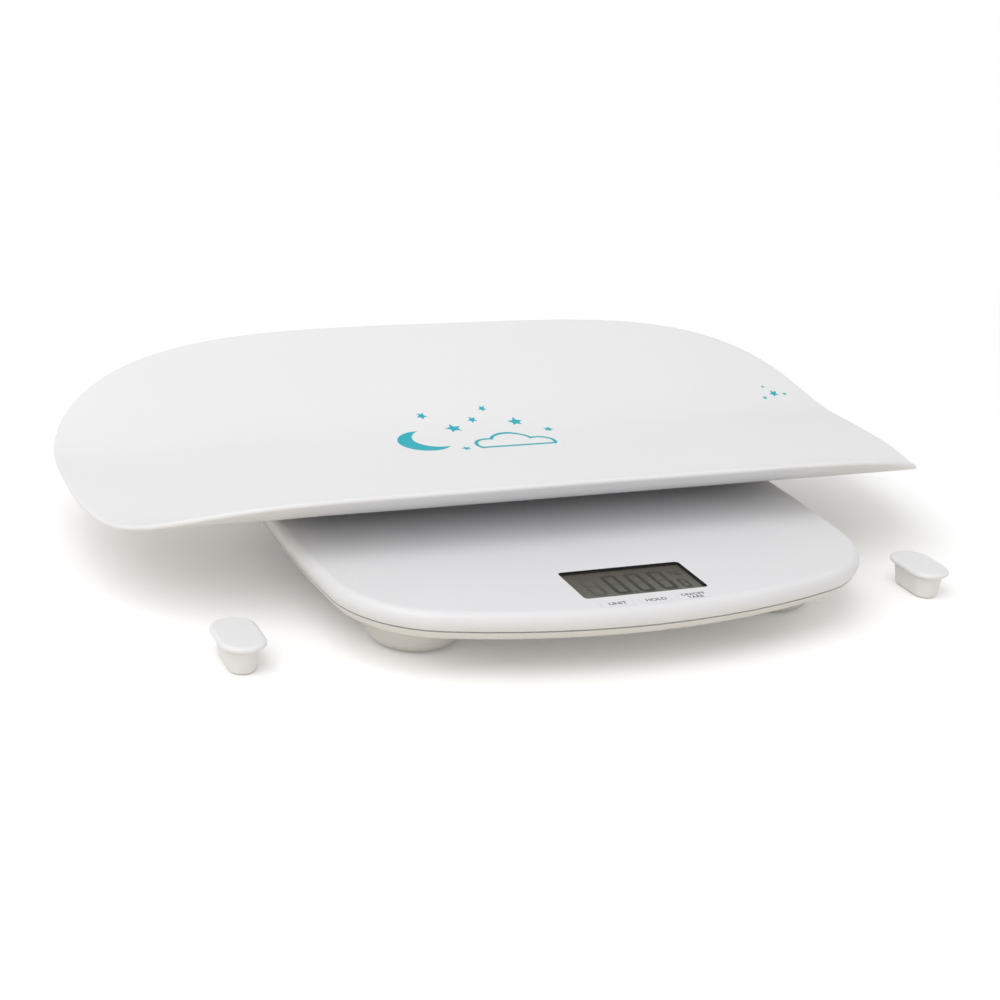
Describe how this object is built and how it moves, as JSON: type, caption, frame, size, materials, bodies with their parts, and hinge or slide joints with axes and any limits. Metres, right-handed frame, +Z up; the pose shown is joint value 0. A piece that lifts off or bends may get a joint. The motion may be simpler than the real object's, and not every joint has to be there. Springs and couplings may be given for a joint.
{
  "type": "digital baby weighing scale",
  "caption": "Flat weighing platform on load-cell feet with a display and keys, a lift-off cradle tray on pegs and two loose well plugs.",
  "frame": {"origin": "on the table, under the middle of the whole object", "axes": "+Z up, +X along the tray to the right as seen from the display side, +Y towards the rear, away from the display"},
  "size_m": [0.524, 0.348, 0.0958],
  "materials": {
    "white_abs": "white moulded ABS, satin",
    "shell_abs": "white moulded ABS, fine matt",
    "clear_lens": "clear moulded acrylic",
    "black_abs": "black moulded ABS",
    "lcd_glass": "grey-green reflective LCD",
    "grey_rubber": "grey silicone",
    "board": "green solder mask",
    "screw_steel": "nickel-plated steel",
    "cell_steel": "stamped steel",
    "gauge_film": "amber film",
    "pad_rubber": "pale grey soft rubber",
    "lead_sheath": "PVC sheath",
    "cell_can": "plain lacquered can",
    "tray_pp": "white moulded polypropylene, satin"
  },
  "bodies": {
    "platform": {"top_shell": "white_abs", "bottom_shell": "shell_abs", "display_lens": "clear_lens", "lcd_bezel": "black_abs", "lcd_panel": "lcd_glass", "zebra_connectors": "grey_rubber", "circuit_board": "board", "tact_switches": "black_abs", "board_screws": "screw_steel", "shell_screws": "screw_steel", "load_cell_front_left": "cell_steel", "load_cell_front_right": "cell_steel", "load_cell_rear_left": "cell_steel", "load_cell_rear_right": "cell_steel", "strain_gauges": "gauge_film", "foot_front_left": "shell_abs", "foot_front_right": "shell_abs", "foot_rear_left": "shell_abs", "foot_rear_right": "shell_abs", "foot_pad_front_left": "pad_rubber", "foot_pad_front_right": "pad_rubber", "foot_pad_rear_left": "pad_rubber", "foot_pad_rear_right": "pad_rubber", "load_cell_leads": "lead_sheath", "battery_cells": "cell_can", "battery_contacts": "screw_steel", "battery_leads": "lead_sheath"},
    "tray_body": {"tray": "tray_pp"},
    "plug_left_body": {"plug_left": "tray_pp"},
    "plug_right_body": {"plug_right": "tray_pp"},
    "key_unit_body": {"key_unit": "white_abs"},
    "key_hold_body": {"key_hold": "white_abs"},
    "key_on_off_body": {"key_on_off": "white_abs"},
    "battery_door_body": {"battery_door": "shell_abs"}
  },
  "joints": [
    {"name": "tray_lift", "type": "slide", "parent": "platform", "child": "tray_body", "axis": [0, 0, 1], "range_m": [0, 0.14]},
    {"name": "plug_left_lift", "type": "slide", "parent": "platform", "child": "plug_left_body", "axis": [0, 0, 1], "range_m": [0, 0.1]},
    {"name": "plug_right_lift", "type": "slide", "parent": "platform", "child": "plug_right_body", "axis": [0, 0, 1], "range_m": [0, 0.1]},
    {"name": "key_unit_press", "type": "slide", "parent": "platform", "child": "key_unit_body", "axis": [0, 0, -1], "range_m": [0, 0.0007], "stiffness_N_per_m": 1500},
    {"name": "key_hold_press", "type": "slide", "parent": "platform", "child": "key_hold_body", "axis": [0, 0, -1], "range_m": [0, 0.0007], "stiffness_N_per_m": 1500},
    {"name": "key_on_off_press", "type": "slide", "parent": "platform", "child": "key_on_off_body", "axis": [0, 0, -1], "range_m": [0, 0.0007], "stiffness_N_per_m": 1500},
    {"name": "battery_door_tilt", "type": "hinge", "parent": "platform", "child": "battery_door_body", "pos_m": [0, -0.031, 0.0219], "axis": [1, 0, 0], "range_deg": [0, 30]}
  ]
}
